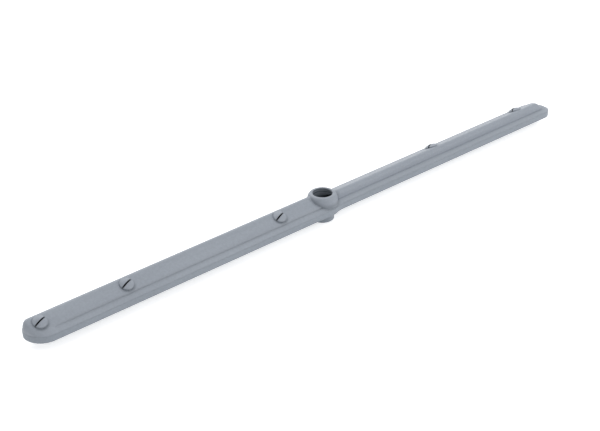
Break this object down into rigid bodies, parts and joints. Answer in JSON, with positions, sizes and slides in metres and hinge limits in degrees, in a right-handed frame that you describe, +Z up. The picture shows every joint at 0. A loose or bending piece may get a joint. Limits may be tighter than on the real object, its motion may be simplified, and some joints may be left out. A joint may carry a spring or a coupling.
{
  "type": "dishwasher spray arm",
  "caption": "Long hollow spray arm with a bored hub, tilted faces and slotted nozzle domes; water fed in at the hub leaves as jets that wash the load and turn the arm.",
  "frame": {"origin": "hub axis at the bottom face of the lower boss", "axes": "+X along the arm, +Z up the hub bore towards the collar and the nozzle side"},
  "size_m": [0.477, 0.0232, 0.0195],
  "materials": {
    "shell_plastic": "satin blue-grey moulded polypropylene"
  },
  "bodies": {
    "root": {"upper_shell": "shell_plastic", "lower_shell": "shell_plastic"}
  },
  "joints": []
}
